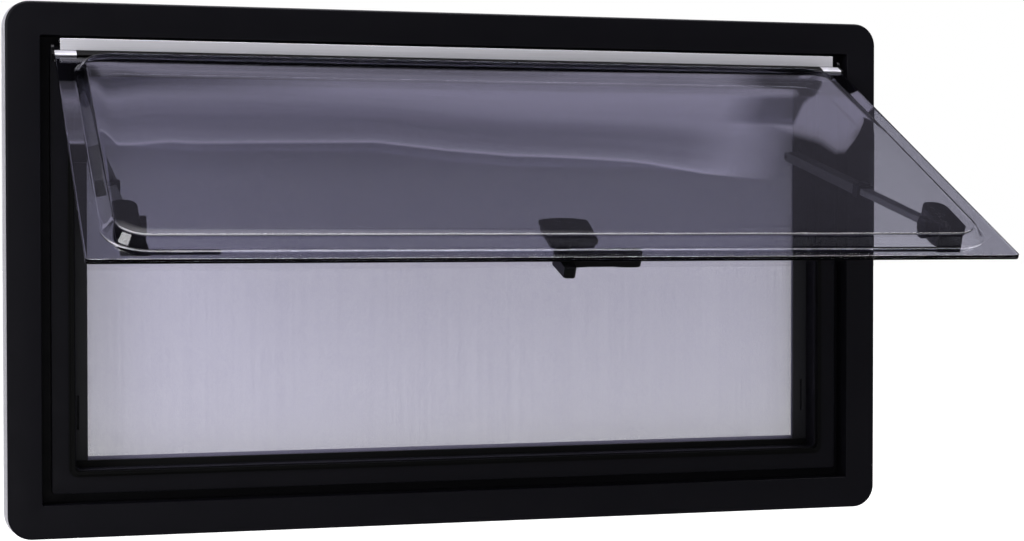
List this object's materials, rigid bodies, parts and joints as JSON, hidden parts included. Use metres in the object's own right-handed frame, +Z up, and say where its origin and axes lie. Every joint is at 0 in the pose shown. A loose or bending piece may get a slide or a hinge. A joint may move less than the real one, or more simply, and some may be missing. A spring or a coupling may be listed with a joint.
{
  "type": "caravan window",
  "caption": "Top-hung caravan window with an open double acrylic sash on stays, a catch, and a flyscreen and blind inside its frame.",
  "frame": {"origin": "middle of the flange's lower strip, on the flat back face that lies on the wall", "axes": "+X along the window's width, to the right as seen from outside; +Y into the wall; +Z up"},
  "size_m": [0.951, 0.481, 0.545],
  "materials": {
    "frame_plastic": "satin black moulded plastic",
    "seal_rubber": "matt black rubber",
    "bare_aluminium": "brushed along its length",
    "fitting_plastic": "black moulded nylon",
    "clear_acrylic": "grey tinted, polished",
    "tinted_acrylic": "grey violet tint, polished",
    "stay_paint": "black powder coat",
    "lining_plastic": "matt black",
    "screen_mesh": "fine woven mesh",
    "blind_cloth": "coated blackout cloth"
  },
  "bodies": {
    "window": {"outer_frame": "frame_plastic", "frame_gasket": "seal_rubber", "hinge_rail": "bare_aluminium", "sash_hinge_profile": "stay_paint", "hinge_cap_left": "fitting_plastic", "hinge_cap_right": "fitting_plastic", "flat_pane": "clear_acrylic", "domed_pane": "tinted_acrylic", "stay_anchor_left": "fitting_plastic", "stay_anchor_right": "fitting_plastic", "stay_channel_left": "stay_paint", "stay_channel_right": "stay_paint", "stay_rod_left": "stay_paint", "stay_rod_right": "stay_paint", "stay_collar_left": "fitting_plastic", "stay_collar_right": "fitting_plastic", "stay_bracket_left": "fitting_plastic", "stay_bracket_right": "fitting_plastic", "stay_knob_left": "fitting_plastic", "stay_knob_right": "fitting_plastic", "catch_base": "fitting_plastic", "catch_button": "fitting_plastic", "clamp_ring": "bare_aluminium", "top_box": "lining_plastic", "bottom_box": "lining_plastic", "side_rail_left": "lining_plastic", "side_rail_right": "lining_plastic", "screen_roller": "screen_mesh", "flyscreen": "screen_mesh", "screen_bar": "lining_plastic", "blind_roller": "blind_cloth", "blind_bar": "lining_plastic"},
    "lever": {"catch_lever": "fitting_plastic"}
  },
  "joints": [
    {"name": "catch_turn", "type": "hinge", "parent": "window", "child": "lever", "pos_m": [-0.005, -0.36425, 0.2674], "axis": [0, -0.4493, 0.8934], "range_deg": [0, 90]}
  ]
}
